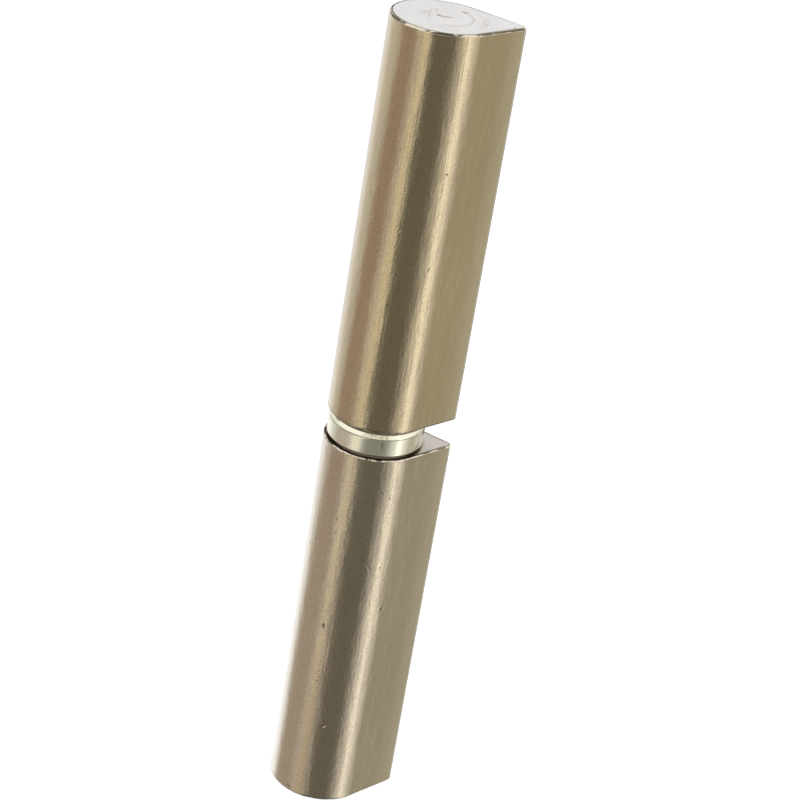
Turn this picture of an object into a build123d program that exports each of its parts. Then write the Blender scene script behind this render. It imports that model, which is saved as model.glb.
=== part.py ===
from build123d import *
import math
import os

# Weld-on lift-off door hinge: two halves of drop-section steel bar on one pin,
# with a shrouded thrust ball bearing between them. Sizes are in millimetres.
# The origin is on the pin axis, in the bottom end of the lower half.
# +Z runs up the pin, and the noses of both halves point along +X.

# Drop-section bar of the two halves
barrel_diameter = 20.0
nose_reach = 15.2  # pin axis to the tip of the nose
nose_radius = 1.5
half_length = 80.0  # one half, end to end
end_chamfer = 0.4  # broken edge round the outer end of a half
mating_chamfer = 0.2  # broken edge round the end that faces the bearing

# Pin and the two blind bores that hold it
pin_diameter = 10.0
pin_seat_depth = 50.0  # length pressed into the lower half
pin_reach = 50.0  # length inside the upper half
pin_running_clearance = 0.05  # radial, in the upper half
pin_end_clearance = 3.0  # room above the pin, so that the bearing carries the door
pin_tip_chamfer = 1.2
pin_foot_chamfer = 0.6
bore_mouth_chamfer = 0.5
drill_point_angle = 118.0  # cone that the drill leaves at the end of a bore

# Balls and the tracks they run in
ball_diameter = 2.5
ball_count = 14
ball_play = 0.05  # between a ball and each track
track_conformity = 0.52  # track radius over ball diameter
track_depth = 0.32
race_thickness = 1.7
lower_race_clearance = 0.05  # radial, on the pin
upper_race_clearance = 0.2  # radial, round the pin
upper_race_fit = 0.02  # radial, inside the cover

# Cage: a channel ring pressed from thin sheet, open below
cage_sheet = 0.25
cage_running_clearance = 0.25  # radial, to the pin and to the cover
cage_ball_clearance = 0.25  # radial, from a ball to each flange
cage_web_gap = 0.28  # from the web up to the upper race
cage_flange_gap = 0.38  # from the flanges' edges down to the lower race
cage_bend_radius = 0.4
pocket_clearance = 0.05  # radial, round a ball where it passes the web

# Cover: a drawn cup with a crowned shoulder, a crease under it and a rolled lower lip
cover_sheet = 0.5
cover_shoulder_height = 1.6  # from the crease up to the flat top
cover_crease_angle = 18.0  # degrees that the shoulder leans in where it leaves the wall
cover_lip_bend = 0.05  # inside radius of the rolled lip
cover_lip_overhang = 0.2  # radial, from the wall's inside in to the lip's edge
cover_skirt_gap = 0.35  # from the lower half up to the lip
cover_flange_setback = 0.2  # radial, from the upper race's bore to the edge of the flange
shroud_clearance = 0.12  # radial, from the cover's wall to the lower race
lip_clearance = 0.15  # from the lip to the lower race's shoulder and step

# Radii, worked outwards from the pin
barrel_radius = barrel_diameter / 2
pin_radius = pin_diameter / 2
ball_radius = ball_diameter / 2
cage_inner_radius = pin_radius + cage_running_clearance
ball_pitch_radius = cage_inner_radius + cage_sheet + cage_ball_clearance + ball_radius
cage_outer_radius = 2 * ball_pitch_radius - cage_inner_radius
cover_inner_radius = cage_outer_radius + cage_running_clearance
cover_outer_radius = cover_inner_radius + cover_sheet
lip_edge_radius = cover_inner_radius - cover_lip_overhang
crown_radius = cover_shoulder_height / (1 - math.sin(math.radians(cover_crease_angle)))
crown_reach = crown_radius * math.cos(math.radians(cover_crease_angle))  # crown's centre to the wall

# Heights, stacked upwards from the lower half's top end
lower_race_top = half_length + race_thickness
ball_height = lower_race_top - track_depth + ball_play + ball_radius
upper_race_bottom = ball_height + ball_radius + ball_play - track_depth
upper_race_top = upper_race_bottom + race_thickness
cover_top = upper_race_top + cover_sheet
lip_bottom = half_length + cover_skirt_gap
lip_top = lip_bottom + cover_sheet
pin_bottom = half_length - pin_seat_depth
pin_top = cover_top + pin_reach


def point_on_circle(centre_x, radius, angle):
    return (centre_x + radius * math.cos(angle), radius * math.sin(angle))


def drop_profile():
    # Barrel arc and nose arc, joined by two flat flanks that are tangent to both
    nose_centre = nose_reach - nose_radius
    tangent = math.acos((barrel_radius - nose_radius) / nose_centre)
    barrel_front = point_on_circle(0, barrel_radius, -tangent)
    barrel_back = point_on_circle(0, barrel_radius, tangent)
    nose_front = point_on_circle(nose_centre, nose_radius, -tangent)
    nose_back = point_on_circle(nose_centre, nose_radius, tangent)
    outline = ThreePointArc(barrel_back, (-barrel_radius, 0), barrel_front)
    outline += Line(barrel_front, nose_front)
    outline += ThreePointArc(nose_front, (nose_reach, 0), nose_back)
    outline += Line(nose_back, barrel_back)
    return make_face(outline)


def bar_length(bottom, mating_end):
    # One cut length of the bar, with both ends' edges broken
    # mating_end is 0 for the lower end or -1 for the upper
    bar = extrude(drop_profile(), half_length)
    bar = chamfer(bar.faces().sort_by(Axis.Z)[mating_end].edges(), mating_chamfer)
    bar = chamfer(bar.faces().sort_by(Axis.Z)[-1 - mating_end].edges(), end_chamfer)
    return Pos(0, 0, bottom) * bar


def turned(points):
    # Solid of revolution about the pin axis, from (radius, height) points
    return revolve(make_face(Plane.XZ * Polyline(points, close=True)), Axis.Z)


def drilled_hole(radius, depth, mouth, direction):
    # Blind hole with a chamfered mouth and a drill point; direction is 1 up or -1 down
    point_depth = depth + radius / math.tan(math.radians(drill_point_angle / 2))
    points = [
        (0, mouth),
        (radius + bore_mouth_chamfer, mouth),
        (radius, mouth + direction * bore_mouth_chamfer),
        (radius, mouth + direction * depth),
        (0, mouth + direction * point_depth),
    ]
    return turned(points)


def ring(inner_radius, outer_radius, bottom, top):
    return turned([(inner_radius, bottom), (outer_radius, bottom), (outer_radius, top), (inner_radius, top)])


def track(face_height, direction):
    # Torus that cuts a ball track; direction points from the race out to the balls
    track_radius = track_conformity * ball_diameter
    height = face_height + direction * (track_radius - track_depth)
    return Pos(0, 0, height) * Torus(ball_pitch_radius, track_radius)


def lower_barrel():
    return bar_length(0, -1) - drilled_hole(pin_radius, pin_seat_depth, half_length, -1)


def upper_barrel():
    bore_radius = pin_radius + pin_running_clearance
    bore_depth = pin_reach + pin_end_clearance
    return bar_length(cover_top, 0) - drilled_hole(bore_radius, bore_depth, cover_top, 1)


def hinge_pin():
    pin = ring(0, pin_radius, pin_bottom, pin_top)
    rims = pin.edges().filter_by(GeomType.CIRCLE).sort_by(Axis.Z)
    pin = chamfer(rims[-1], pin_tip_chamfer)
    rims = pin.edges().filter_by(GeomType.CIRCLE).sort_by(Axis.Z)
    return chamfer(rims[0], pin_foot_chamfer)


def lower_race():
    # Stepped washer: the cover's lip turns in below its shoulder and keeps the bearing together
    inner_radius = pin_radius + lower_race_clearance
    shoulder_radius = cover_inner_radius - shroud_clearance
    step_radius = lip_edge_radius - lip_clearance
    shoulder_height = lip_top + lip_clearance
    foot = ring(inner_radius, step_radius, half_length, lower_race_top)
    shoulder = ring(inner_radius, shoulder_radius, shoulder_height, lower_race_top)
    return foot + shoulder - track(lower_race_top, 1)


def crowned_ring(inner_radius, outer_radius, bottom, top, inset):
    # Ring whose top rim follows the cover's shoulder, inset below its outside
    radius = crown_radius - inset
    reach = crown_reach - inset
    start = math.acos(reach / radius)
    middle = (start + math.pi / 2) / 2
    centre = (outer_radius - reach, top - radius)
    crease = (outer_radius, centre[1] + radius * math.sin(start))
    crown = (centre[0] + radius * math.cos(middle), centre[1] + radius * math.sin(middle))
    rim = (centre[0], top)
    outline = Polyline(rim, (inner_radius, top), (inner_radius, bottom), (outer_radius, bottom), crease)
    outline += ThreePointArc(crease, crown, rim)
    return revolve(make_face(Plane.XZ * outline), Axis.Z)


def upper_race():
    # Its outer top edge is rounded to lie in the cover's shoulder
    inner_radius = pin_radius + upper_race_clearance
    outer_radius = cover_inner_radius - upper_race_fit
    washer = crowned_ring(inner_radius, outer_radius, upper_race_bottom, upper_race_top, cover_sheet)
    return washer - track(upper_race_bottom, -1)


def ball_cage():
    web_top = upper_race_bottom - cage_web_gap
    web_bottom = web_top - cage_sheet
    flange_bottom = lower_race_top + cage_flange_gap
    shell = ring(cage_inner_radius, cage_outer_radius, flange_bottom, web_top)
    shell = fillet(shell.edges().group_by(Axis.Z)[-1], cage_bend_radius)
    channel_inner = cage_inner_radius + cage_sheet
    channel_outer = cage_outer_radius - cage_sheet
    channel = ring(channel_inner, channel_outer, flange_bottom, web_bottom)
    channel = fillet(channel.edges().group_by(Axis.Z)[-1], cage_bend_radius - cage_sheet)
    pocket_radius = math.sqrt(ball_radius**2 - (web_bottom - ball_height) ** 2) + pocket_clearance
    pockets = Pos(0, 0, web_top) * PolarLocations(ball_pitch_radius, ball_count)
    return shell - channel - pockets * Cylinder(pocket_radius, 2 * (web_top - flange_bottom))


def drum(radius, bottom, top, bottom_round, inset):
    # Closed drum with a crowned top rim and a rounded bottom rim
    body = crowned_ring(0, radius, bottom, top, inset)
    rims = body.edges().filter_by(GeomType.CIRCLE).sort_by(Axis.Z)
    return fillet(rims[0], bottom_round)


def bearing_cover():
    shell = drum(cover_outer_radius, lip_bottom, cover_top, cover_lip_bend + cover_sheet, 0)
    room = drum(cover_inner_radius, lip_top, upper_race_top, cover_lip_bend, cover_sheet)
    flange_hole = ring(0, pin_radius + upper_race_clearance + cover_flange_setback, lip_bottom, cover_top)
    lip_hole = ring(0, lip_edge_radius, lip_bottom, lip_top)
    return shell - room - flange_hole - lip_hole


pieces = {
    "lower_barrel": lower_barrel(),
    "upper_barrel": upper_barrel(),
    "hinge_pin": hinge_pin(),
    "lower_race": lower_race(),
    "upper_race": upper_race(),
    "ball_cage": ball_cage(),
    "bearing_cover": bearing_cover(),
}

ball_places = Pos(0, 0, ball_height) * PolarLocations(ball_pitch_radius, ball_count)
for number, place in enumerate(ball_places, 1):
    pieces[f"ball_{number:02d}"] = place * Sphere(ball_radius)

os.makedirs("parts", exist_ok=True)
for name, piece in pieces.items():
    export_step(piece, f"parts/{name}.step")
    print(f"{name}: {piece.volume:.2f} mm3")
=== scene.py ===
import math
import bpy
import numpy as np
from mathutils import Matrix, Vector


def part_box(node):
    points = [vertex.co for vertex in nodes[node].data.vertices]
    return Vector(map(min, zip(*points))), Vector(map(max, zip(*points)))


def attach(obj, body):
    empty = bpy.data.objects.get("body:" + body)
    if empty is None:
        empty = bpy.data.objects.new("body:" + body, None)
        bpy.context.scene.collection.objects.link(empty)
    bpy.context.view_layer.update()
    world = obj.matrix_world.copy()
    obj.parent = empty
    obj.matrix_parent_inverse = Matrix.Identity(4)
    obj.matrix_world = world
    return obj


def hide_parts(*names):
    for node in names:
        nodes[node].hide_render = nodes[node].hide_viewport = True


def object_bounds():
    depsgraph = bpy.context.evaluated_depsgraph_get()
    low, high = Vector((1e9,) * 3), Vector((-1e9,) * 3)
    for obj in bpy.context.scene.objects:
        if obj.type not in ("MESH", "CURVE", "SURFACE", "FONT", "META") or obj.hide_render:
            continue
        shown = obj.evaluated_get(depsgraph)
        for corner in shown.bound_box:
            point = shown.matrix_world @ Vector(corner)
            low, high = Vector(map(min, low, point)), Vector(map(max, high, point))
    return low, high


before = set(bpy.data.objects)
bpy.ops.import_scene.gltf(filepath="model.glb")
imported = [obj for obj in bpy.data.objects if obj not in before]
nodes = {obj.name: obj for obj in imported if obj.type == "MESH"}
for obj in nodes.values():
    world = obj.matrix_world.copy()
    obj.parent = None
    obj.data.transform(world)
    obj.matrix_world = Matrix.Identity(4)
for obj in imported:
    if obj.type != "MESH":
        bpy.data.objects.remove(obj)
cadLow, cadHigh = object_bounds()
mm = 0.001
print("frame loaded:", len(nodes), "CAD nodes")


# Small helpers for node trees

def addNode(tree, kind, values=None, **settings):
    node = tree.nodes.new(kind)
    for key, value in settings.items():
        setattr(node, key, value)
    for key, value in (values or {}).items():
        node.inputs[key].default_value = value
    return node


def link(tree, source, target):
    tree.links.new(source, target)


def math2(tree, operation, first, second):
    node = addNode(tree, "ShaderNodeMath", operation=operation)
    for place, value in enumerate((first, second)):
        if isinstance(value, (int, float)):
            node.inputs[place].default_value = value
        else:
            link(tree, value, node.inputs[place])
    return node.outputs["Value"]


# Camera, from the photograph

cameraSetup = {
    "azimuth": -8.362, "elevation": 26.029, "roll": 9.696,  # degrees
    "distance": 469.28 * mm,
    "look": (3.767 * mm, -0.237 * mm, 88.602 * mm),
    "focalPixels": 2420.3, "imagePixels": 800, "sensor": 36.0,
    "nearest": 10 * mm, "farthest": 50.0,
}


def placeCamera(setup):
    az, el, roll = (math.radians(setup[key]) for key in ("azimuth", "elevation", "roll"))
    back = Vector((math.sin(az) * math.cos(el), -math.cos(az) * math.cos(el), math.sin(el)))
    level = (-back).cross(Vector((0, 0, 1))).normalized()
    up = level.cross(-back)
    across = math.cos(roll) * level + math.sin(roll) * up
    upright = -math.sin(roll) * level + math.cos(roll) * up
    data = bpy.data.cameras.new("photoCamera")
    data.sensor_width = setup["sensor"]
    data.lens = setup["focalPixels"] / setup["imagePixels"] * setup["sensor"]
    data.clip_start = setup["nearest"]
    data.clip_end = setup["farthest"]
    camera = bpy.data.objects.new("photoCamera", data)
    bpy.context.scene.collection.objects.link(camera)
    place = Matrix((across, upright, back)).transposed().to_4x4()
    place.translation = Vector(setup["look"]) + setup["distance"] * back
    camera.matrix_world = place
    bpy.context.scene.camera = camera


placeCamera(cameraSetup)
bpy.context.scene.view_settings.view_transform = "Standard"
print("camera placed")


# Studio: white world and floor, soft lamps, and a tent of cards that only the metal sees

studio = {
    "ambient": 0.72,  # world level for everything but the background
    "floorSize": 8.0, "floorColour": (0.86, 0.86, 0.86, 1), "floorLift": 0.42,
    "lamps": {
        "rightLamp": {"azimuth": 38, "elevation": 42, "distance": 1.3, "size": 0.9, "watts": 7},
        "leftLamp": {"azimuth": -52, "elevation": 34, "distance": 1.4, "size": 0.8, "watts": 5},
    },
}


def cardAt(middle, half, soft, level, lean=0.0, bottom=-100.0, top=0.0, fade=14.0):
    # azimuth of the middle, half width and soft edge, colour, lean, then bottom, top and fade, in degrees
    return {"middle": middle, "half": half, "soft": soft, "level": level,
            "lean": lean, "bottom": bottom, "top": top, "fade": fade}


tent = {
    "radius": 1.4, "lowest": -80.0, "highest": 87.0,  # elevations in degrees
    "columns": 240, "rows": 112,
    "cloth": 0.6, "upperCloth": 0.97, "clothTop": 8.0, "clothFade": 14.0,
    "leanLevel": -25.0,  # elevation at which a leaning card is at its own middle
    "cards": {
        "leftGap": cardAt(182, 22, 14, (0.37, 0.295, 0.285), lean=1.1),
        "leftGapLow": cardAt(185, 27, 14, (0.44, 0.395, 0.355), lean=1.1, top=-27, fade=6),
        "noseGap": cardAt(4.5, 14, 8, (0.406, 0.386, 0.331)),
        "noseGapLow": cardAt(5.3, 14, 8, (0.374, 0.358, 0.313), top=-27, fade=6),
        "rightGap": cardAt(56, 13, 10, (0.07, 0.065, 0.062)),
        "backGap": cardAt(78, 19, 12, (0.22, 0.21, 0.21), top=8),
        "cameraGap": cardAt(-84, 26, 26, (0.162, 0.16, 0.151), top=2),
        "cameraGapLeft": cardAt(-109, 12, 9, (0.152, 0.15, 0.141), lean=0.6, bottom=-27.5, top=2, fade=3),
        "cameraGapLow": cardAt(-111.5, 24, 10, (0.168, 0.161, 0.146), lean=-1.1, top=-27.5, fade=3),
        "frontUpper": cardAt(-92, 32, 20, (0.66, 0.65, 0.62), bottom=6, top=52),
        "ceilingGap": cardAt(-86, 62, 12, (0.07, 0.065, 0.06), bottom=58, top=90, fade=6),
        "noseUpperGap": cardAt(20, 11, 6, (0.17, 0.16, 0.13), bottom=25, top=52, fade=6),
        "rightBox": cardAt(-32, 10, 12, (0.99, 0.99, 1.0), top=45),
        "rightCore": cardAt(-34, 2.2, 3.5, (1.65, 1.63, 1.6), top=45),
        "leftBox": cardAt(-133.5, 3, 5, (1.06, 0.93, 0.67), lean=0.6, bottom=-27.5, fade=3),
        "leftBoxLow": cardAt(-149.5, 3.5, 5, (1.18, 1.03, 0.78), lean=-1.1, bottom=-33.5, top=-27.5,
                             fade=3),
        "leftBoxFoot": cardAt(-140, 13, 8, (0.5, 0.44, 0.375), top=-34, fade=3),
        "backBox": cardAt(112, 22, 30, (0.89, 0.88, 0.89), top=80),
        "backBoxLow": cardAt(112, 22, 30, (1.11, 1.13, 1.19), top=-27, fade=6),
        "leftUpperGap": cardAt(138, 23, 10, (0.18, 0.17, 0.16), bottom=17, top=46, fade=6),
        "floorGap": cardAt(0, 190, 1, (0.09, 0.085, 0.075), top=-50, fade=8),
    },
}


def smoothStep(value):
    value = np.clip(value, 0.0, 1.0)
    return value * value * (3 - 2 * value)


def objectFromMesh(name, points, faces):
    mesh = bpy.data.meshes.new(name)
    mesh.from_pydata([tuple(p) for p in points], [], faces)
    mesh.update()
    piece = bpy.data.objects.new(name, mesh)
    bpy.context.scene.collection.objects.link(piece)
    return piece


def gridFaces(rows, columns):
    # closed round each row
    faces = []
    for row in range(rows - 1):
        for column in range(columns):
            after = (column + 1) % columns
            faces.append((row * columns + column, row * columns + after,
                          (row + 1) * columns + after, (row + 1) * columns + column))
    return faces


def tentLevels(azimuth, elevation, setup):
    upper = smoothStep((elevation - setup["clothTop"]) / setup["clothFade"] + 0.5)
    cloth = setup["cloth"] + upper * (setup["upperCloth"] - setup["cloth"])
    levels = np.repeat(cloth[..., None], 3, -1)
    for card in setup["cards"].values():
        away = azimuth - card["middle"] - card["lean"] * (elevation - setup["leanLevel"])
        away = np.abs((away + 180) % 360 - 180)
        share = 1 - smoothStep((away - card["half"]) / card["soft"] + 0.5)
        share *= 1 - smoothStep((elevation - card["top"]) / card["fade"] + 0.5)
        share *= smoothStep((elevation - card["bottom"]) / card["fade"] + 0.5)
        levels += share[..., None] * (np.array(card["level"]) - levels)
    return levels


def buildTent(setup):
    azimuths = np.linspace(-180, 180, setup["columns"], endpoint=False)
    elevations = np.linspace(setup["lowest"], setup["highest"], setup["rows"])
    az, el = np.meshgrid(azimuths, elevations)
    turn, lift = np.radians(az), np.radians(el)
    points = setup["radius"] * np.stack([
        np.cos(turn) * np.cos(lift), np.sin(turn) * np.cos(lift), np.sin(lift)], -1)
    points[..., 2] += (cadLow.z + cadHigh.z) / 2
    piece = objectFromMesh("studioTent", points.reshape(-1, 3), gridFaces(setup["rows"], setup["columns"]))
    colours = np.ones((az.size, 4), np.float32)
    colours[:, :3] = tentLevels(az, el, setup).reshape(-1, 3)
    layer = piece.data.attributes.new("tentLevel", "FLOAT_COLOR", "POINT")
    layer.data.foreach_set("color", colours.ravel())
    material = bpy.data.materials.new("tentCards")
    material.use_nodes = True
    tree = material.node_tree
    tree.nodes.clear()
    level = addNode(tree, "ShaderNodeAttribute", attribute_name="tentLevel")
    glow = addNode(tree, "ShaderNodeEmission", {"Strength": 1.0})
    out = addNode(tree, "ShaderNodeOutputMaterial")
    link(tree, level.outputs["Color"], glow.inputs["Color"])
    link(tree, glow.outputs["Emission"], out.inputs["Surface"])
    piece.data.materials.append(material)
    for rays in ("camera", "diffuse", "shadow", "volume_scatter"):
        setattr(piece, "visible_" + rays, False)


def seenDirectly(tree):
    # 1 for camera, glossy and transmission rays
    rays = addNode(tree, "ShaderNodeLightPath")
    seen = math2(tree, "MAXIMUM", rays.outputs["Is Camera Ray"], rays.outputs["Is Glossy Ray"])
    return math2(tree, "MAXIMUM", seen, rays.outputs["Is Transmission Ray"])


def buildWorld(setup):
    world = bpy.data.worlds.new("studioWorld")
    bpy.context.scene.world = world
    world.use_nodes = True
    tree = world.node_tree
    tree.nodes.clear()
    strength = math2(tree, "MULTIPLY_ADD", seenDirectly(tree), 1 - setup["ambient"])
    strength.node.inputs[2].default_value = setup["ambient"]
    background = addNode(tree, "ShaderNodeBackground", {"Color": (1, 1, 1, 1)})
    out = addNode(tree, "ShaderNodeOutputWorld")
    link(tree, strength, background.inputs["Strength"])
    link(tree, background.outputs["Background"], out.inputs["Surface"])


def buildFloor(setup):
    half = setup["floorSize"] / 2
    corners = [(-half, -half, 0), (half, -half, 0), (half, half, 0), (-half, half, 0)]
    piece = objectFromMesh("studioFloor", corners, [(0, 1, 2, 3)])
    material = bpy.data.materials.new("paleFloor")
    material.use_nodes = True
    tree = material.node_tree
    tree.nodes.clear()
    matt = addNode(tree, "ShaderNodeBsdfDiffuse", {"Color": setup["floorColour"]})
    lift = addNode(tree, "ShaderNodeEmission", {"Color": (1, 1, 1, 1)})
    both = addNode(tree, "ShaderNodeAddShader")
    out = addNode(tree, "ShaderNodeOutputMaterial")
    link(tree, math2(tree, "MULTIPLY", seenDirectly(tree), setup["floorLift"]), lift.inputs["Strength"])
    link(tree, matt.outputs["BSDF"], both.inputs[0])
    link(tree, lift.outputs["Emission"], both.inputs[1])
    link(tree, both.outputs["Shader"], out.inputs["Surface"])
    piece.data.materials.append(material)
    piece.visible_glossy = False  # the metal shows the tent below the horizon too


def buildLamps(lamps):
    middle = (cadLow + cadHigh) / 2
    for name, setup in lamps.items():
        az, el = math.radians(setup["azimuth"]), math.radians(setup["elevation"])
        back = Vector((math.sin(az) * math.cos(el), -math.cos(az) * math.cos(el), math.sin(el)))
        data = bpy.data.lights.new(name, "AREA")
        data.size = setup["size"]
        data.energy = setup["watts"]
        lamp = bpy.data.objects.new(name, data)
        bpy.context.scene.collection.objects.link(lamp)
        lamp.location = middle + setup["distance"] * back
        lamp.rotation_euler = back.to_track_quat("Z", "Y").to_euler()
        lamp.visible_glossy = False


buildWorld(studio)
buildFloor(studio)
buildLamps(studio["lamps"])
buildTent(tent)
print("studio built")


# Metal finishes. Sizes and heights of the patterns are in metres.

finishes = {
    "upperDrawn": {
        "tints": [(0.64, 0.506, 0.262), (0.692, 0.546, 0.285), (0.674, 0.517, 0.285)],
        "skin": 1.0, "skinIndex": 2.2, "skinRoughness": 0.085,
        "cloudSize": 9 * mm, "cloudStretch": 2.2,
        "roughness": (0.175, 0.215), "grainSize": 0.34 * mm, "grainHeight": 0.027 * mm,
        "waveSize": 2.6 * mm, "waveHeight": 0.085 * mm, "waveStretch": 2.5,
        "speckle": 0.03, "speckleSize": 0.5 * mm,
        "lines": "lengthwise", "lineSize": 0.5 * mm, "lineHeight": 0.028 * mm,
        "calmFrom": 4.5 * mm, "calmTo": 7.5 * mm, "calmShare": 0.25,  # along X, onto the flanks
        # painted highlight: the flanks turn paler towards the nose
        "noseSheenFrom": 10 * mm, "noseSheenTo": 15.2 * mm, "noseSheenColour": (0.91, 0.80, 0.55),
        "fleckSize": 0.7 * mm, "fleckShare": 0.08, "fleckAndShadeColour": (0.22, 0.165, 0.105),
        "pitDepth": 0.012 * mm,
    },
    "edgeSteel": {
        "tints": [(0.78, 0.70, 0.55), (0.84, 0.76, 0.60), (0.81, 0.73, 0.57)],
        "cloudSize": 4 * mm,
        "roughness": (0.09, 0.14), "grainSize": 0.25 * mm, "grainHeight": 0.006 * mm,
        "waveSize": 1.6 * mm, "waveHeight": 0.04 * mm,
        "lines": "rings", "lineSize": 0.12 * mm, "lineHeight": 0.003 * mm,
        "fleckSize": 0.5 * mm, "fleckShare": 0.05, "fleckAndShadeColour": (0.2, 0.16, 0.11),
    },
    "facedSteel": {
        "tints": [(0.77, 0.755, 0.745), (0.87, 0.855, 0.845), (0.83, 0.815, 0.80)],
        "cloudSize": 3.5 * mm,
        "roughness": (0.285, 0.34), "grainSize": 0.3 * mm, "grainHeight": 0.012 * mm,
        "waveSize": 2.2 * mm, "waveHeight": 0.03 * mm, "speckle": 0.03,
        "lines": "rings", "lineSize": 0.22 * mm, "lineHeight": 0.008 * mm, "lineTone": 0.012,
        "fleckSize": 0.5 * mm, "fleckShare": 0.08, "fleckAndShadeColour": (0.30, 0.205, 0.11),
    },
    "platedCover": {
        "metallic": 0.93,
        "tints": [(0.955, 0.935, 0.735), (0.99, 0.968, 0.77), (0.97, 0.92, 0.71)],
        "cloudSize": 4 * mm,
        "roughness": (0.13, 0.19), "grainSize": 0.25 * mm, "grainHeight": 0.006 * mm,
        "waveSize": 2.5 * mm, "waveHeight": 0.016 * mm,
        "lines": "lengthwise", "lineSize": 0.4 * mm, "lineHeight": 0.003 * mm,
        "fleckSize": 0.6 * mm, "fleckShare": 0.05, "fleckAndShadeColour": (0.22, 0.20, 0.15),
    },
    "groundPin": {
        "tints": [(0.60, 0.60, 0.60), (0.66, 0.65, 0.645), (0.63, 0.625, 0.62)],
        "cloudSize": 8 * mm,
        "roughness": (0.15, 0.24), "grainSize": 0.2 * mm, "grainHeight": 0.002 * mm,
        "waveSize": 4 * mm, "waveHeight": 0.008 * mm,
        "lines": "turned", "lineSize": 0.12 * mm, "lineHeight": 0.004 * mm,
        "fleckSize": 0.5 * mm, "fleckShare": 0.05, "fleckAndShadeColour": (0.3, 0.27, 0.22),
    },
    "raceSteel": {
        "tints": [(0.58, 0.58, 0.59), (0.64, 0.64, 0.645), (0.61, 0.61, 0.61)],
        "cloudSize": 4 * mm,
        "roughness": (0.14, 0.22), "grainSize": 0.15 * mm, "grainHeight": 0.001 * mm,
        "waveSize": 3 * mm, "waveHeight": 0.004 * mm,
        "lines": "rings", "lineSize": 0.1 * mm, "lineHeight": 0.003 * mm,
        "fleckSize": 0.4 * mm, "fleckShare": 0.04, "fleckAndShadeColour": (0.3, 0.29, 0.27),
    },
    "ballSteel": {
        "tints": [(0.66, 0.66, 0.67), (0.70, 0.70, 0.70), (0.68, 0.68, 0.68)],
        "cloudSize": 2 * mm,
        "roughness": (0.05, 0.09), "grainSize": 0.1 * mm, "grainHeight": 0.0003 * mm,
        "waveSize": 2 * mm, "waveHeight": 0.001 * mm,
        "lines": "turned", "lineSize": 0.2 * mm, "lineHeight": 0.0002 * mm,
        "fleckSize": 0.4 * mm, "fleckShare": 0.03, "fleckAndShadeColour": (0.4, 0.38, 0.34),
    },
    "cageBrass": {
        "tints": [(0.72, 0.53, 0.24), (0.78, 0.58, 0.28), (0.74, 0.56, 0.29)],
        "cloudSize": 3 * mm,
        "roughness": (0.24, 0.34), "grainSize": 0.2 * mm, "grainHeight": 0.003 * mm,
        "waveSize": 2 * mm, "waveHeight": 0.006 * mm,
        "lines": "rings", "lineSize": 0.15 * mm, "lineHeight": 0.002 * mm,
        "fleckSize": 0.5 * mm, "fleckShare": 0.08, "fleckAndShadeColour": (0.35, 0.22, 0.09),
    },
}

finishDefaults = {
    "metallic": 1.0, "cloudStretch": 1.0, "waveStretch": 1.0,
    "speckle": 0.01, "lineTone": 0.01, "pitDepth": 0.002 * mm,
}

# the two halves come from two bars: the lower one is a little less yellow and more pitted
finishes["lowerDrawn"] = dict(
    finishes["upperDrawn"], fleckShare=0.14, speckle=0.035,
    tints=[(0.628, 0.517, 0.326), (0.674, 0.552, 0.355), (0.663, 0.535, 0.349)])

# how noise becomes a pattern, the same in every finish
pattern = {
    "noiseRough": 0.55, "band": (0.35, 0.65), "blushBand": (0.4, 0.7),  # where most of a noise lies
    "blushScale": 1.7, "lineStretch": 14.0, "fleckStretch": 1.6,
    "fleckStart": 0.72, "fleckSlope": 0.4, "fleckSoft": 0.07, "fleckCover": 0.75, "fleckRough": 0.2,
    "cloudPart": 0.6, "linePart": 0.4,  # of the streaks in the roughness
}


def noiseAt(tree, place, size, stretch=1.0, detail=2.0, offset=0.0):
    move = addNode(tree, "ShaderNodeMapping")
    move.inputs["Location"].default_value = (offset, offset, offset)
    move.inputs["Scale"].default_value = (1 / size, 1 / size, 1 / (size * stretch))
    link(tree, place, move.inputs["Vector"])
    values = {"Scale": 1.0, "Detail": detail, "Roughness": pattern["noiseRough"]}
    noise = addNode(tree, "ShaderNodeTexNoise", values)
    link(tree, move.outputs["Vector"], noise.inputs["Vector"])
    return noise.outputs["Fac"]


def lineNoise(tree, place, kind, size):
    # lengthwise die lines, rings round the pin axis on a face, or rings along the axis on a turned side
    if kind == "lengthwise":
        return noiseAt(tree, place, size, pattern["lineStretch"], offset=3.1)
    parts = addNode(tree, "ShaderNodeSeparateXYZ")
    link(tree, place, parts.inputs["Vector"])
    along = parts.outputs["Z"]
    if kind == "rings":
        flat = addNode(tree, "ShaderNodeCombineXYZ")
        link(tree, parts.outputs["X"], flat.inputs["X"])
        link(tree, parts.outputs["Y"], flat.inputs["Y"])
        reach = addNode(tree, "ShaderNodeVectorMath", operation="LENGTH")
        link(tree, flat.outputs["Vector"], reach.inputs[0])
        along = reach.outputs["Value"]
    noise = addNode(tree, "ShaderNodeTexNoise", {"Scale": 1.0, "Detail": 2.0}, noise_dimensions="1D")
    link(tree, math2(tree, "DIVIDE", along, size), noise.inputs["W"])
    return noise.outputs["Fac"]


def remap(tree, value, fromLow, fromHigh, toLow, toHigh):
    node = addNode(tree, "ShaderNodeMapRange", {
        "From Min": fromLow, "From Max": fromHigh, "To Min": toLow, "To Max": toHigh})
    link(tree, value, node.inputs["Value"])
    return node.outputs["Result"]


def mixColour(tree, share, first, second):
    node = addNode(tree, "ShaderNodeMix", data_type="RGBA")
    link(tree, share, node.inputs["Factor"])
    for socket, value in ((node.inputs["A"], first), (node.inputs["B"], second)):
        if isinstance(value, tuple):
            socket.default_value = value + (1,)
        else:
            link(tree, value, socket)
    return node.outputs["Result"]


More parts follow.
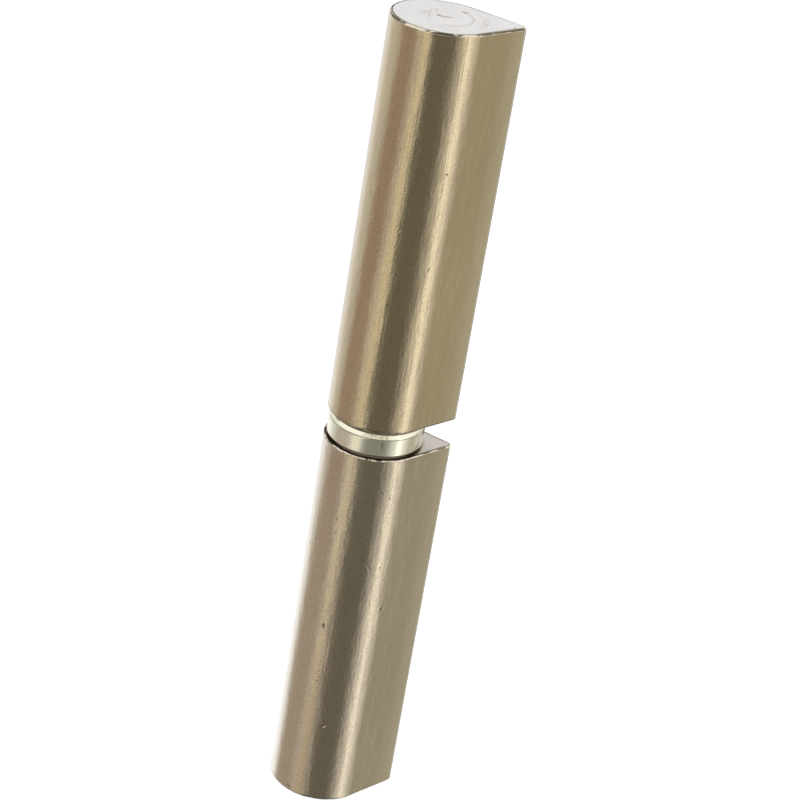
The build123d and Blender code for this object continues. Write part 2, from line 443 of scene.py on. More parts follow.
def metalFinish(name, ownLook):
    look = finishDefaults | ownLook
    material = bpy.data.materials.new(name)
    material.use_nodes = True
    tree = material.node_tree
    shader = tree.nodes["Principled BSDF"]
    shader.inputs["Metallic"].default_value = look["metallic"]
    place = addNode(tree, "ShaderNodeTexCoord").outputs["Object"]
    lines = lineNoise(tree, place, look["lines"], look["lineSize"])
    grain = noiseAt(tree, place, look["grainSize"], offset=2.2)
    # the flat flanks are smoother than the barrel, and paler towards the nose, a painted highlight
    calm = None
    noseSheen = None
    if "calmShare" in look:
        parts = addNode(tree, "ShaderNodeSeparateXYZ")
        link(tree, place, parts.inputs["Vector"])
        calm = remap(tree, parts.outputs["X"], look["calmFrom"], look["calmTo"], 1, look["calmShare"])
        noseSheen = remap(tree, parts.outputs["X"], look["noseSheenFrom"], look["noseSheenTo"], 0, 1)
        noseSheen = math2(tree, "POWER", noseSheen, 2)
    # colour: two cloud layers over three tints, the painted highlight towards the nose, speckle and tool
    # lines
    cloudSize, cloudStretch = look["cloudSize"], look["cloudStretch"]
    cloud = noiseAt(tree, place, cloudSize, cloudStretch, detail=4.0)
    blush = noiseAt(tree, place, cloudSize * pattern["blushScale"], cloudStretch, detail=3.0, offset=7.7)
    low, mid, high = look["tints"]
    colour = mixColour(tree, remap(tree, cloud, *pattern["band"], 0, 1), low, mid)
    colour = mixColour(tree, remap(tree, blush, *pattern["blushBand"], 0, 1), colour, high)
    if noseSheen is not None:
        colour = mixColour(tree, noseSheen, colour, look["noseSheenColour"])
    speckle = noiseAt(tree, place, look.get("speckleSize", look["grainSize"]), offset=2.2)
    for field, amount in ((speckle, look["speckle"]), (lines, look["lineTone"])):
        shift = remap(tree, field, *pattern["band"], -2 * amount, 2 * amount)
        if calm is not None:
            shift = math2(tree, "MULTIPLY", shift, calm)
        tone = addNode(tree, "ShaderNodeVectorMath", operation="SCALE")
        link(tree, colour, tone.inputs[0])
        link(tree, math2(tree, "ADD", shift, 1.0), tone.inputs["Scale"])
        colour = tone.outputs["Vector"]
    # dark flecks, partly stains and partly painted shade in the pits, then the painted shade that the
    # mesh's dent attribute carries
    fleck = noiseAt(tree, place, look["fleckSize"], pattern["fleckStretch"], detail=3.0, offset=1.3)
    edge = pattern["fleckStart"] - pattern["fleckSlope"] * look["fleckShare"]
    fleckMask = remap(tree, fleck, edge, edge + pattern["fleckSoft"], 0, pattern["fleckCover"])
    colour = mixColour(tree, fleckMask, colour, look["fleckAndShadeColour"])
    # the dent attribute is painted shade, mixed towards the fleck-and-shade colour: in hollows, tool marks
    # and scuffs, along rims, in the bore, crease and under the lip, and the cover's shadow
    dent = addNode(tree, "ShaderNodeAttribute", attribute_name="dent").outputs["Fac"]
    colour = mixColour(tree, dent, colour, look["fleckAndShadeColour"])
    link(tree, colour, shader.inputs["Base Color"])
    # roughness: streaky and cloudy, rougher in flecks
    streaks = math2(tree, "ADD", math2(tree, "MULTIPLY", cloud, pattern["cloudPart"]),
                    math2(tree, "MULTIPLY", lines, pattern["linePart"]))
    streaks = remap(tree, streaks, *pattern["band"], *look["roughness"])
    blur = math2(tree, "ADD", streaks, math2(tree, "MULTIPLY", fleckMask, pattern["fleckRough"]))
    link(tree, blur, shader.inputs["Roughness"])
    # bump: broad waves, tool lines, fine grain, then pits where the flecks are
    wave = noiseAt(tree, place, look["waveSize"], look["waveStretch"], offset=5.5)
    reliefs = ((wave, "waveHeight"), (lines, "lineHeight"),
               (grain, "grainHeight"), (fleckMask, "pitDepth"))
    normal = None
    for field, height in reliefs:
        bump = addNode(tree, "ShaderNodeBump", {"Strength": 1.0, "Distance": look[height]})
        bump.invert = field is fleckMask
        link(tree, field, bump.inputs["Height"])
        if calm is not None and (field is lines or field is grain):
            link(tree, calm, bump.inputs["Strength"])
        if normal is not None:
            link(tree, normal, bump.inputs["Normal"])
        normal = bump.outputs["Normal"]
    link(tree, normal, shader.inputs["Normal"])
    # a smooth skin over the metal, as drawing leaves it
    if "skin" in look:
        shader.inputs["Coat Weight"].default_value = look["skin"]
        shader.inputs["Coat IOR"].default_value = look["skinIndex"]
        shader.inputs["Coat Roughness"].default_value = look["skinRoughness"]
        link(tree, normal, shader.inputs["Coat Normal"])
    return material


metals = {name: metalFinish(name, look) for name, look in finishes.items()}
print("finishes made:", ", ".join(metals))


# Drawn surface: a Geometry Nodes tree that gives a smooth mesh the slight hollows of drawn stock

def drawnSurfaceTree():
    tree = bpy.data.node_groups.new("drawnSurface", "GeometryNodeTree")
    kinds = {
        "Geometry": "Geometry", "Hollow Depth": "Float", "Hollow Size": "Float", "Stretch": "Float",
        "Seed": "Float", "Finish": "Material", "Faced Finish": "Material", "Edge Finish": "Material",
    }
    sockets = {}
    for name, kind in kinds.items():
        socket = tree.interface.new_socket(name, in_out="INPUT", socket_type="NodeSocket" + kind)
        sockets[name] = socket.identifier
    tree.interface.new_socket("Geometry", in_out="OUTPUT", socket_type="NodeSocketGeometry")
    given = addNode(tree, "NodeGroupInput").outputs
    place = addNode(tree, "GeometryNodeInputPosition").outputs["Position"]
    length = addNode(tree, "ShaderNodeMath", operation="MULTIPLY")
    link(tree, given["Hollow Size"], length.inputs[0])
    link(tree, given["Stretch"], length.inputs[1])
    size = addNode(tree, "ShaderNodeCombineXYZ")
    link(tree, given["Hollow Size"], size.inputs["X"])
    link(tree, given["Hollow Size"], size.inputs["Y"])
    link(tree, length.outputs["Value"], size.inputs["Z"])
    scaled = addNode(tree, "ShaderNodeVectorMath", operation="DIVIDE")
    link(tree, place, scaled.inputs[0])
    link(tree, size.outputs["Vector"], scaled.inputs[1])
    noise = addNode(tree, "ShaderNodeTexNoise", {"Scale": 1.0, "Detail": 1.0}, noise_dimensions="4D")
    link(tree, scaled.outputs["Vector"], noise.inputs["Vector"])
    link(tree, given["Seed"], noise.inputs["W"])
    below = math2(tree, "SUBTRACT", noise.outputs["Fac"], 1.0)
    weight = addNode(tree, "GeometryNodeInputNamedAttribute", {"Name": "drawn"}, data_type="FLOAT")
    depth = math2(tree, "MULTIPLY", below, given["Hollow Depth"])
    depth = math2(tree, "MULTIPLY", depth, weight.outputs["Attribute"])
    normal = addNode(tree, "GeometryNodeInputNormal").outputs["Normal"]
    offset = addNode(tree, "ShaderNodeVectorMath", operation="SCALE")
    link(tree, normal, offset.inputs[0])
    link(tree, depth, offset.inputs["Scale"])
    moved = addNode(tree, "GeometryNodeSetPosition")
    link(tree, given["Geometry"], moved.inputs["Geometry"])
    link(tree, offset.outputs["Vector"], moved.inputs["Offset"])
    real = addNode(tree, "GeometryNodeRealizeInstances")
    link(tree, moved.outputs["Geometry"], real.inputs["Geometry"])
    dressed = addNode(tree, "GeometryNodeSetMaterial")
    link(tree, real.outputs["Geometry"], dressed.inputs["Geometry"])
    link(tree, given["Finish"], dressed.inputs["Material"])
    for mark, finish in (("faced", "Faced Finish"), ("edge", "Edge Finish")):
        marked = addNode(tree, "GeometryNodeInputNamedAttribute", {"Name": mark}, data_type="BOOLEAN")
        over = addNode(tree, "GeometryNodeSetMaterial")
        link(tree, dressed.outputs["Geometry"], over.inputs["Geometry"])
        link(tree, marked.outputs["Attribute"], over.inputs["Selection"])
        link(tree, given[finish], over.inputs["Material"])
        dressed = over
    out = addNode(tree, "NodeGroupOutput")
    link(tree, dressed.outputs["Geometry"], out.inputs["Geometry"])
    return tree, sockets


drawnTree, drawnSockets = drawnSurfaceTree()


def applyDrawnSurface(piece, setup, seed, finish, facedFinish, edgeFinish):
    values = {
        "Hollow Depth": setup["hollowDepth"], "Hollow Size": setup["hollowSize"],
        "Stretch": setup["hollowStretch"], "Seed": seed,
        "Finish": metals[finish], "Faced Finish": metals[facedFinish], "Edge Finish": metals[edgeFinish],
    }
    modifier = piece.modifiers.new("drawnSurface", "NODES")
    modifier.node_group = drawnTree
    for name, value in values.items():
        modifier[drawnSockets[name]] = value
    depsgraph = bpy.context.evaluated_depsgraph_get()
    mesh = bpy.data.meshes.new_from_object(piece.evaluated_get(depsgraph), depsgraph=depsgraph)
    plain = piece.data
    piece.modifiers.clear()
    piece.data = mesh
    bpy.data.meshes.remove(plain)
    mesh.name = piece.name


def addAttribute(mesh, name, kind, domain, values):
    layer = mesh.attributes.new(name, kind, domain)
    layer.data.foreach_set("value", values)


# Drop-section bar: one half of the hinge, from its solid end, down the sides, to the bottom of its bore

bar = {
    "noseRadius": 1.5 * mm,
    # broken edges: their sizes, easing and unevenness
    "chamfer": 0.4 * mm, "matingChamfer": 0.2 * mm, "chamferSlope": 45.0, "chamferRound": 0.25,
    "easeRows": 4, "chamferMean": 0.88, "chamferUneven": 0.14, "flankUneven": 0.35,
    "waveTurns": (3, 7, 19, 31, 47), "slowParts": (0.5, 0.4), "fastParts": (0.45, 0.4),
    "nickShift": 5, "nickRange": (0.35, 1.7),
    # painted shade: 0 is none and 1 is the finish's fleck-and-shade colour
    "rimShade": 0.22, "matingRimShade": 0.85, "webShade": 0.1, "faceShade": 0.4, "boreShade": 0.2,
    # painted shadow of the cover: a dark ring on the open face round the cover's foot
    "coverShadowInner": 8.3 * mm, "coverShadowOuter": 9.7 * mm, "coverShadowFade": 0.5 * mm, "coverShadowShade": 0.9,
    "markFull": 0.04 * mm, "dentFull": 0.15 * mm,  # depths at which painted shade is darkest
    # dents and tool marks: how square a dent is, its raised lip, and how a mark fades at its ends
    "dentSquare": 2.6, "dentLip": 0.12, "dentLipAt": 1.6, "dentLipWidth": 0.4, "markFade": 16.0,
    # mesh
    "columnStep": 0.42 * mm, "noseStep": 0.22 * mm, "rowStep": 0.9 * mm,
    "dentSteps": (-1.8, -1.1, -0.6, -0.2, 0.2, 0.6, 1.1, 1.8),  # shares of a dent's reach
    "closestColumn": 0.05 * mm, "closestRow": 0.06 * mm,
    "faceMargin": 0.8 * mm, "rimMargin": 0.25 * mm, "sideMargin": 0.6 * mm,
    "matingSteps": ((0.1 * mm, 1.0), (0.35 * mm, 0.6)),  # in from the mating rim, and share of its shade
    "middleRing": 0.02 * mm, "ringStep": 0.14 * mm, "webRows": 12,
    # bore
    "boreMouth": 0.5 * mm, "boreEase": 0.04 * mm, "boreEdge": 0.03 * mm, "boreStart": 1 * mm,
    "boreStop": 0.1 * mm, "boreStep": 6 * mm, "drillPoint": 118.0, "pointShares": (0.97, 0.6, 0.25, 0.004),
    "hollowDepth": 0.05 * mm, "hollowSize": 9 * mm, "hollowStretch": 2.5,
}

barHalves = {
    "upper_bar": {
        "node": "upper_barrel", "body": "upper_half", "solidEnd": "high",
        # how much of the cover's painted shadow falls on this half's open face
        "seed": 3.0, "finish": "upperDrawn", "coverShadow": 0.4,
        "sideRim": 0.0, "mateRim": 0.75, "mateUneven": 0.15,
        "boreRadius": 5.05 * mm, "boreDepth": 53 * mm,
    },
    "lower_bar": {
        "node": "lower_barrel", "body": "lower_half", "solidEnd": "low",
        "seed": 8.0, "finish": "lowerDrawn", "coverShadow": 1.0,
        "sideRim": 0.85, "mateRim": 0.0, "mateUneven": 0.4,
        "boreRadius": 5.004 * mm, "boreDepth": 50 * mm,
    },
}


def dentAt(angle, height, wide, tall, depth, turn=0, dark=1):
    # angle round the pin and turn in degrees, height above the bottom end and sizes in millimetres
    return {"angle": angle, "height": height * mm, "wide": wide * mm, "tall": tall * mm,
            "depth": depth * mm, "turn": turn, "dark": dark}


dents = {
    "upper_bar": [
        dentAt(-67.0, 139.3, 0.17, 0.19, 0.09),
        dentAt(-69.3, 120.4, 0.10, 0.42, 0.07, turn=-40),
        dentAt(-108.2, 127.3, 0.11, 0.38, 0.05, turn=-30),
        dentAt(-108.7, 124.2, 0.13, 0.14, 0.05),
        dentAt(-126.9, 127.0, 0.14, 0.16, 0.05),
        dentAt(-127.4, 121.6, 0.14, 0.16, 0.05),
    ],
    "lower_bar": [
        dentAt(-119.9, 41.2, 0.17, 0.46, 0.15, turn=8),
        dentAt(-52.4, 45.8, 0.42, 0.42, 0.07, turn=12, dark=3),
        dentAt(-116.4, 30.6, 0.20, 0.16, 0.05, turn=20),
        dentAt(-100.6, 18.1, 0.22, 0.46, 0.12, turn=-50, dark=0),
        dentAt(-132.0, 0.95, 0.6, 0.2, 0.11, dark=0),
        dentAt(-81.0, 56.4, 0.10, 1.20, 0.05, turn=33),
        dentAt(-80.5, 73.0, 0.10, 0.90, 0.05, turn=52),
        dentAt(-125.1, 65.4, 0.15, 0.18, 0.06),
        dentAt(-68.8, 71.6, 0.15, 0.18, 0.06),
        dentAt(-64.8, 55.9, 0.15, 0.18, 0.06),
        dentAt(-161.7, 56.8, 0.16, 0.30, 0.08, turn=-20),
    ],
}


def markAt(x, y, radius, width, depth, middle, reach):
    # part ring on a solid end: centre and sizes in millimetres, its middle and half its reach in degrees
    return {"centre": (x * mm, y * mm), "radius": radius * mm, "width": width * mm, "depth": depth * mm,
            "middle": middle, "reach": reach}


# tool marks left by facing the solid ends, each darkened by painted shade
facingMarks = [
    markAt(0.1, 1.4, 1.4, 0.26, 0.04, -105, 50),
    markAt(-0.5, 0.6, 0.5, 0.2, 0.04, 185, 55),
    markAt(1.1, 1.2, 1.1, 0.2, 0.03, -80, 30),
    markAt(-0.4, -1.0, 4.0, 0.2, 0.018, 139, 12),
    markAt(3.3, 0.5, 6.0, 0.17, 0.016, 169, 19),
    markAt(3.8, 2.8, 5.0, 0.17, 0.016, 169, 11),
    markAt(-4.6, 2.2, 0.3, 0.25, 0.014, 90, 60),
    markAt(-3.3, -2.2, 0.4, 0.22, 0.014, -60, 50),
    markAt(0, 0.5, 5.45, 0.17, 0.018, -30, 62),
    markAt(0, 0.5, 7.4, 0.15, 0.011, -2, 26),
    markAt(0, 0.5, 8.1, 0.15, 0.013, -10, 24),
    markAt(0, 0, 5.8, 0.40, 0.05, 44, 4),  # a nick
]
darkest = 0.8  # painted shade in a dent, mark or scuff, at its darkest


class DropSection:
    # outline of the bar, by distance along it: barrel, front flank, nose, back flank
    def __init__(self, barrelRadius, noseReach, noseRadius):
        self.radius, self.noseRadius = barrelRadius, noseRadius
        self.noseMiddle = noseReach - noseRadius
        self.tangent = math.acos((barrelRadius - noseRadius) / self.noseMiddle)
        self.flank = self.noseMiddle * math.sin(self.tangent)
        self.barrelEnd = barrelRadius * (2 * math.pi - 2 * self.tangent)
        self.noseStart = self.barrelEnd + self.flank
        self.noseEnd = self.noseStart + 2 * self.tangent * noseRadius
        self.around = self.noseEnd + self.flank

    def at(self, s):
        # points and outward directions at distances s
        t = self.tangent
        angle = np.where(s < self.barrelEnd, t + s / self.radius, -t)
        onNose = (s >= self.noseStart) & (s < self.noseEnd)
        angle = np.where(onNose, -t + (s - self.noseStart) / self.noseRadius, angle)
        angle = np.where(s >= self.noseEnd, t, angle)
        out = np.stack([np.cos(angle), np.sin(angle)], -1)
        centre = np.where(onNose | (s >= self.noseEnd), self.noseMiddle, 0.0)
        radius = np.where(onNose | (s >= self.noseEnd), self.noseRadius, self.radius)
        points = radius[:, None] * out
        points[:, 0] += centre
        front = (s >= self.barrelEnd) & (s < self.noseStart)
        points[front] += (s[front] - self.barrelEnd)[:, None] * np.array([math.sin(t), math.cos(t)])
        back = s >= self.noseEnd
        points[back] += (s[back] - self.noseEnd)[:, None] * np.array([-math.sin(t), math.cos(t)])
        return points, out

    def distance(self, degrees):
        # distance along the outline at an angle round the pin, on the barrel or the front flank
        angle = math.radians(degrees) % (2 * math.pi)
        if angle <= 2 * math.pi - self.tangent:
            return self.radius * (angle - self.tangent)
        return self.barrelEnd + self.radius * math.tan(angle - 2 * math.pi + self.tangent)


def spread(start, end, step):
    return np.linspace(start, end, max(2, int(math.ceil((end - start) / step)) + 1))


def withDetail(values, places, low, high, closest):
    # adds values near each dent, then drops those that crowd
    extra = [place + reach * share for place, reach in places for share in bar["dentSteps"]]
    every = np.sort(np.concatenate([values, [v for v in extra if low < v < high]]))
    kept = [every[0]]
    for value in every[1:]:
        if value - kept[-1] > closest:
            kept.append(value)
    return np.array(kept)


def roundedChamfer(size):
    # (inset, distance from the end face) from the face to the side, with both edges eased
    rounding = bar["chamferRound"] * size
    cut = rounding * math.tan(math.radians(bar["chamferSlope"] / 2))
    rows = []
    for turn in np.linspace(0, bar["chamferSlope"], bar["easeRows"]):
        a = math.radians(turn)
        rows.append((size + cut - rounding * math.sin(a), rounding * (1 - math.cos(a))))
    rows.append((size / 2, size / 2))
    rows += [(depth, inset) for inset, depth in reversed(rows[:-1])]
    return rows


def facingDepth(flat):
    depth = np.zeros(len(flat))
    for mark in facingMarks:
        x, y = flat[:, 0] - mark["centre"][0], flat[:, 1] - mark["centre"][1]
        away = np.abs((np.degrees(np.arctan2(y, x)) - mark["middle"] + 180) % 360 - 180)
        share = 1 - smoothStep((away - mark["reach"]) / bar["markFade"] + 0.5)
        off = (np.hypot(x, y) - mark["radius"]) / mark["width"]
        depth += share * mark["depth"] * np.exp(-(off ** 2))
    return depth


# painted shade in a hollow: deeper is darker, up to darkest
def paintedShadeIn(depth, full):
    return np.clip(depth / full, 0, darkest)


def coverShadowShade(flat, amount):
    # painted shade of an open end face: darker all over, and darker still in a ring round the cover's
    # foot, the cover's painted shadow
    radius = np.hypot(flat[:, 0], flat[:, 1])
    film = smoothStep((radius - bar["coverShadowInner"]) / bar["coverShadowFade"] + 0.5)
    film *= 1 - smoothStep((radius - bar["coverShadowOuter"]) / bar["coverShadowFade"] + 0.5)
    return bar["faceShade"] + amount * film * (bar["coverShadowShade"] - bar["faceShade"])


def dentSink(own, s, d, sign):
    # depth of a half's dents at distances s along the outline and d from the solid end, and their painted
    # shade
    sink, hollowShade = np.zeros(len(s)), np.zeros(len(s))
    for dent in own:
        turn = math.radians(dent["turn"]) * sign
        ds, dd = s - dent["s"], d - dent["d"]
        across = (ds * math.cos(turn) + dd * math.sin(turn)) / dent["wide"]
        along = (dd * math.cos(turn) - ds * math.sin(turn)) / dent["tall"]
        reach = np.hypot(across, along)
        hollow = np.exp(-(reach ** bar["dentSquare"]))
        lip = bar["dentLip"] * np.exp(-(((reach - bar["dentLipAt"]) / bar["dentLipWidth"]) ** 2))
        sink += dent["depth"] * (hollow - lip)
        hollowShade += dent["dark"] * dent["depth"] * hollow
    return sink, hollowShade


def buildBar(name, setup):
    low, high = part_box(setup["node"])
    length = high.z - low.z
    sign = 1 if setup["solidEnd"] == "low" else -1
    base = low.z if sign > 0 else high.z
    section = DropSection(high.y, high.x, bar["noseRadius"])
    own = dents[name]
    for dent in own:
        dent["s"] = section.distance(dent["angle"])
        dent["d"] = abs(dent["height"] - base)
        turn = math.radians(dent["turn"])
        dent["reachS"] = math.hypot(dent["wide"] * math.cos(turn), dent["tall"] * math.sin(turn))
        dent["reachD"] = math.hypot(dent["wide"] * math.sin(turn), dent["tall"] * math.cos(turn))
    columns = np.concatenate([
        spread(0, section.barrelEnd, bar["columnStep"])[:-1],
        spread(section.barrelEnd, section.noseStart, bar["columnStep"])[:-1],
        spread(section.noseStart, section.noseEnd, bar["noseStep"])[:-1],
        spread(section.noseEnd, section.around, bar["columnStep"])[:-1]])
    places = [(dent["s"], dent["reachS"]) for dent in own]
    columns = withDetail(columns, places, 0, section.around, bar["closestColumn"])
    edge, out = section.at(columns)
    angles = np.arctan2(edge[:, 1], edge[:, 0])
    ring = np.stack([np.cos(angles), np.sin(angles)], -1)
    count = len(columns)
    # hand-broken edges: the chamfer grows, shrinks and tips a little round the end
    phase = 2 * math.pi * columns / section.around
    waves = [np.sin(turns * phase + turns + setup["seed"]) for turns in bar["waveTurns"]]
    uneven = bar["chamferUneven"]
    (slowMore, slowLess), (fastMore, fastLess) = bar["slowParts"], bar["fastParts"]
    calm = np.where(columns < section.barrelEnd, 1.0, bar["flankUneven"])
    grow = bar["chamferMean"] + uneven * (slowMore * waves[0] + slowLess * waves[1])
    growIn = grow + calm * uneven * (fastMore * waves[2] + fastLess * waves[3])
    growDown = grow + calm * uneven * (fastMore * waves[4] - fastLess * waves[2])
    # the mating edge is nicked all along
    nicks = np.random.default_rng(int(setup["seed"])).normal(size=count)
    nicks = (nicks + np.roll(nicks, 1) + np.roll(nicks, 2)) / 2
    mateIn = np.clip(growIn + calm * setup["mateUneven"] * nicks, *bar["nickRange"])
    nicks = np.roll(nicks, bar["nickShift"])
    mateDown = np.clip(growDown + calm * setup["mateUneven"] * nicks, *bar["nickRange"])
    rows, kinds, shades = [], [], []

    def addRow(flat, depth, kind, shade=0.0):
        rows.append(np.column_stack([flat, np.broadcast_to(base + sign * np.asarray(depth), (count,))]))
        kinds.append(kind)
        shades.append(np.broadcast_to(np.asarray(shade, float), (count,)))

    chamfer = roundedChamfer(bar["chamfer"])
    mating = roundedChamfer(bar["matingChamfer"])
    disc = section.radius - bar["faceMargin"]
    rimRows = bar["easeRows"] - 1  # rows of a rim that lie nearly in its face
    middleRow = bar["easeRows"]
    # solid end face, from its middle out, with painted shade in the tool marks
    for radius in np.concatenate([[bar["middleRing"]], spread(bar["ringStep"], disc, bar["ringStep"])]):
        marks = facingDepth(ring * radius)
        addRow(ring * radius, marks, "faced", paintedShadeIn(marks, bar["markFull"]))
    first = edge - (chamfer[0][0] * growIn)[:, None] * out
    webShares = np.linspace(0, 1, bar["webRows"] + 1)
    for share in webShares[1:-1]:
        flat = ring * disc + share * (first - ring * disc)
        marks = facingDepth(flat)
        addRow(flat, marks, "faced", paintedShadeIn(marks, bar["markFull"]))
    # painted shade: a faint line just inside the rim, darker rows along the rim by the face, and on the
    # lower bar along its bottom edge
    addRow(first - bar["rimMargin"] * out, 0.0, "faced", bar["webShade"])
    for number, (inset, depth) in enumerate(chamfer):
        shade = bar["rimShade"] if number < rimRows else setup["sideRim"] if number > middleRow else 0.0
        addRow(edge - (inset * growIn)[:, None] * out, depth * growDown, "edge", shade)
    # sides, with painted shade in their dents
    margin = bar["sideMargin"]
    places = [(dent["d"], dent["reachD"]) for dent in own]
    depths = spread(margin, length - margin, bar["rowStep"])
    depths = withDetail(depths, places, margin, length - margin, bar["closestRow"])
    for depth in depths:
        sink, hollowShade = dentSink(own, columns, depth, sign)
        addRow(edge - sink[:, None] * out, depth, "drawn", paintedShadeIn(hollowShade, bar["dentFull"]))
    # open end, with painted shade along its rim and the cover's painted shadow on its face
    # painted shade on the mating rim: its face-side rows, and on the upper bar, where the cover stands
    # under it, the whole rim
    for number, (inset, depth) in enumerate(reversed(mating)):
        shade = bar["matingRimShade"] if number >= len(mating) - rimRows else setup["mateRim"]
        addRow(edge - (inset * mateIn)[:, None] * out, length - depth * mateDown, "edge", shade)
    first = edge - (mating[0][0] * mateIn)[:, None] * out
    bore, mouth, bottom = setup["boreRadius"], bar["boreMouth"], setup["boreDepth"]
    flats = [first - step * out for step, share in bar["matingSteps"]]
    for share in np.linspace(1, 0, len(webShares))[1:]:
        flats.append(ring * disc + share * (first - ring * disc))
    flats += [ring * radius for radius in spread(bore + mouth, disc, 2 * bar["ringStep"])[::-1][1:]]
    # painted shade in a strip just inside the mating rim
    rims = [bar["matingRimShade"] * share for step, share in bar["matingSteps"]]
    rims += [0.0] * (len(flats) - len(rims))
    for flat, rim in zip(flats, rims):
        addRow(flat, length, "faced", np.maximum(coverShadowShade(flat, setup["coverShadow"]), rim))
    # bore, with its chamfered mouth and drill point, and painted shade inside
    point = bore / math.tan(math.radians(bar["drillPoint"] / 2))
    ease = bar["boreEase"]
    start, stop = mouth + bar["boreStart"], bottom - bar["boreStop"]
    inside = [(bore + mouth / 2, mouth / 2), (bore + ease, mouth - ease), (bore, mouth + bar["boreEdge"])]
    inside += [(bore, depth) for depth in spread(start, stop, bar["boreStep"])]
    inside += [(bore, bottom)]
    inside += [(bore * share, bottom + point * (1 - share)) for share in bar["pointShares"]]
    for radius, depth in inside:
        addRow(ring * radius, length - depth, "faced", bar["boreShade"])
    # close both middles and make the mesh
    points = np.concatenate(rows)
    faces = gridFaces(len(rows), count)
    rowOfFace = [row for row in range(len(rows) - 1) for _ in range(count)]
    poles = np.array([[0, 0, base], [0, 0, base + sign * (length - bottom - point)]])
    last = (len(rows) - 1) * count
    total = len(points)
    for column in range(count):
        after = (column + 1) % count
        faces.append((total, after, column))
        faces.append((last + column, last + after, total + 1))
        rowOfFace += [0, len(rows) - 1]
    if sign < 0:
        faces = [tuple(reversed(face)) for face in faces]
    piece = objectFromMesh(name, np.concatenate([points, poles]), faces)
    mesh = piece.data
    drawn = np.repeat([1.0 if kind == "drawn" else 0.0 for kind in kinds], count)
    addAttribute(mesh, "drawn", "FLOAT", "POINT", np.concatenate([drawn, [0, 0]]).astype(np.float32))
    addAttribute(mesh, "dent", "FLOAT", "POINT", np.concatenate(shades + [[0, 0]]).astype(np.float32))
    pairs = [{kinds[row], kinds[min(row + 1, len(kinds) - 1)]} for row in rowOfFace]
    faced = np.array([pair == {"faced"} for pair in pairs])
    onEdge = np.array(["edge" in pair and "drawn" not in pair for pair in pairs])
    addAttribute(mesh, "faced", "BOOLEAN", "FACE", faced)
    addAttribute(mesh, "edge", "BOOLEAN", "FACE", onEdge)
    mesh.polygons.foreach_set("use_smooth", np.ones(len(mesh.polygons), bool))
    applyDrawnSurface(piece, bar, setup["seed"], setup["finish"], "facedSteel", "edgeSteel")
    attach(piece, setup["body"])
    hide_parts(setup["node"])
    print(name, "built:", len(piece.data.polygons), "faces")


for halfName, halfSetup in barHalves.items():
    buildBar(halfName, halfSetup)


# Bearing cover: a cup drawn from sheet, with a crowned shoulder, a crease under it and a rolled lip

cover = {
    "sheet": 0.5 * mm, "flangeHole": 5.4 * mm, "shoulderHeight": 1.6 * mm, "creaseAngle": 18.0,
    "lipRadius": 0.55 * mm, "lipReach": 0.7 * mm, "lipShade": 0.85, "lipDark": 0.45,  # share that is dark
    "creaseDepth": 0.06 * mm, "creaseWidth": 0.24 * mm, "creaseShade": 0.8,
    "creaseShape": ((0.7, 0.3), (1.0, 0.55), (0.1, 1.0)), "creaseEnd": 1.3,  # shares of depth and width
    "creaseMiddle": 0.5, "creaseReach": 0.4,  # where it is dark, as shares of its width
    "columns": 360, "arcSteps": 14, "wallRows": 15, "flangeRows": 10, "innerRows": 6, "lipSteps": 3,
    "outsideFrom": 0.1 * mm,  # past the wall's inside
    "sharpAngle": 50.0, "scuffFull": 0.045 * mm,
    "hollowDepth": 0.02 * mm, "hollowSize": 4 * mm, "hollowStretch": 1.5, "seed": 5.0,
    "scuffs": [
        dentAt(-100.5, 84.95, 0.16, 0.30, 0.04),
        dentAt(-96.5, 84.95, 0.14, 0.26, 0.035),
        dentAt(-83.0, 84.75, 0.12, 0.50, 0.05),
        dentAt(-106.0, 85.05, 0.30, 0.16, 0.03),
        dentAt(-89.0, 84.62, 0.34, 0.14, 0.03),
        dentAt(-86.6, 82.9, 0.14, 0.90, 0.03),
        dentAt(-88.0, 83.4, 0.14, 0.45, 0.025),
    ],
}


def arcPoints(centreR, centreZ, radius, start, end, steps):
    angles = np.radians(np.linspace(start, end, steps + 1))
    return [(centreR + radius * math.cos(a), centreZ + radius * math.sin(a)) for a in angles]


def coverProfile(setup, outer, bottom, top):
    # (radius, height) points: flange, crown, crease, wall, lip, then back up the inside
    sheet, lip, reach = setup["sheet"], setup["lipRadius"], setup["lipReach"]
    lean = math.radians(setup["creaseAngle"])
    crown = setup["shoulderHeight"] / (1 - math.sin(lean))
    middle = outer - crown * math.cos(lean)
    crease = top - setup["shoulderHeight"]
    inner = outer - sheet
    innerStart = math.degrees(math.acos((inner - middle) / (crown - sheet)))
    profile = [(r, top) for r in np.linspace(setup["flangeHole"], middle, setup["flangeRows"])[:-1]]
    profile += arcPoints(middle, top - crown, crown, 90, setup["creaseAngle"], setup["arcSteps"])
    wide, deep = setup["creaseWidth"], setup["creaseDepth"]
    profile += [(outer - down * deep, crease - along * wide) for down, along in setup["creaseShape"]]
    wallTop = crease - setup["creaseEnd"] * wide
    profile += [(outer, z) for z in np.linspace(wallTop, bottom + lip, setup["wallRows"])[:-1]]
    profile += arcPoints(outer - lip, bottom + lip, lip, 0, -90, setup["arcSteps"])
    profile += [(outer - reach, bottom), (outer - reach, bottom + sheet)]
    profile += arcPoints(inner - (lip - sheet), bottom + lip, lip - sheet, -90, 0, setup["lipSteps"])
    innerCrease = top - crown + (crown - sheet) * math.sin(math.radians(innerStart))
    profile += [(inner, z) for z in np.linspace(bottom + lip, innerCrease, setup["innerRows"])[1:-1]]
    profile += arcPoints(middle, top - crown, crown - sheet, innerStart, 90, setup["innerRows"])
    profile += [(setup["flangeHole"], top - sheet)]
    return np.array(profile), inner, crease


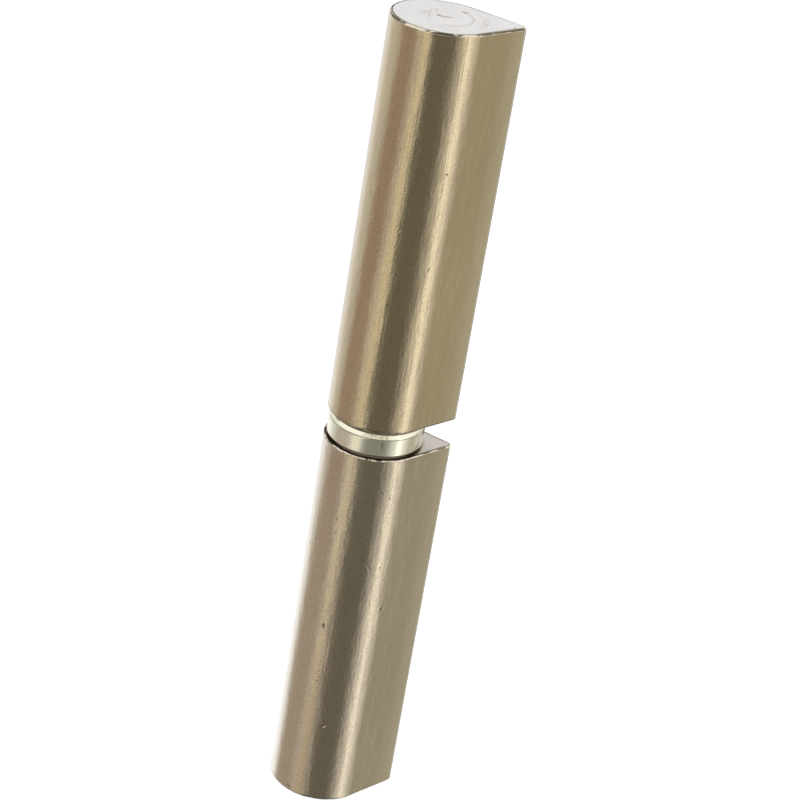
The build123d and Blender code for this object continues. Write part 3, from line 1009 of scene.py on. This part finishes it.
def buildCover(setup):
    low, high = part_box("bearing_cover")
    profile, inner, crease = coverProfile(setup, high.x, low.z, high.z)
    count = setup["columns"]
    angles = np.linspace(0, 2 * math.pi, count, endpoint=False)
    points, shades, drawn = [], [], []
    for r, z in profile:
        outside = r > inner + setup["outsideFrom"]
        sink = np.zeros(count)
        if outside:
            for scuff in setup["scuffs"]:
                away = (angles - math.radians(scuff["angle"]) + math.pi) % (2 * math.pi) - math.pi
                across = away * r / scuff["wide"]
                along = (z - scuff["height"]) / scuff["tall"]
                sink += scuff["depth"] * np.exp(-(across ** 2) - along ** 2)
        # painted shade in the scuffs, along the crease under the crown and under the rolled lip
        shade = paintedShadeIn(sink, setup["scuffFull"])
        creaseAway = abs(z - crease + setup["creaseMiddle"] * setup["creaseWidth"])
        if outside and creaseAway < setup["creaseReach"] * setup["creaseWidth"]:
            shade = np.maximum(shade, setup["creaseShade"])
        if z < low.z + setup["lipDark"] * setup["lipRadius"]:
            shade = np.maximum(shade, setup["lipShade"])
        reach = r - sink
        points.append(np.column_stack([reach * np.cos(angles), reach * np.sin(angles), np.full(count, z)]))
        shades.append(shade)
        drawn.append(np.full(count, 1.0 if outside else 0.0))
    faces = gridFaces(len(profile), count)
    last = (len(profile) - 1) * count
    faces += [(last + c, last + (c + 1) % count, (c + 1) % count, c) for c in range(count)]
    faces = [tuple(reversed(face)) for face in faces]
    piece = objectFromMesh("cover_cup", np.concatenate(points), faces)
    mesh = piece.data
    addAttribute(mesh, "drawn", "FLOAT", "POINT", np.concatenate(drawn).astype(np.float32))
    addAttribute(mesh, "dent", "FLOAT", "POINT", np.concatenate(shades).astype(np.float32))
    for mark in ("faced", "edge"):
        addAttribute(mesh, mark, "BOOLEAN", "FACE", np.zeros(len(mesh.polygons), bool))
    mesh.polygons.foreach_set("use_smooth", np.ones(len(mesh.polygons), bool))
    mesh.set_sharp_from_angle(angle=math.radians(setup["sharpAngle"]))
    applyDrawnSurface(piece, setup, setup["seed"], "platedCover", "platedCover", "platedCover")
    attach(piece, "bearing_top")
    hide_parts("bearing_cover")
    print("cover_cup built:", len(piece.data.polygons), "faces")


buildCover(cover)


# CAD pieces that keep their shape take their finish here

cadFinishes = {
    "hinge_pin": "groundPin", "ball_cage": "cageBrass",
    "lower_race": "raceSteel", "upper_race": "raceSteel",
}
for nodeName, node in nodes.items():
    isBall = nodeName.startswith("ball_") and nodeName != "ball_cage"
    finish = "ballSteel" if isBall else cadFinishes.get(nodeName)
    if finish:
        node.data.materials.clear()
        node.data.materials.append(metals[finish])
print("CAD pieces finished")
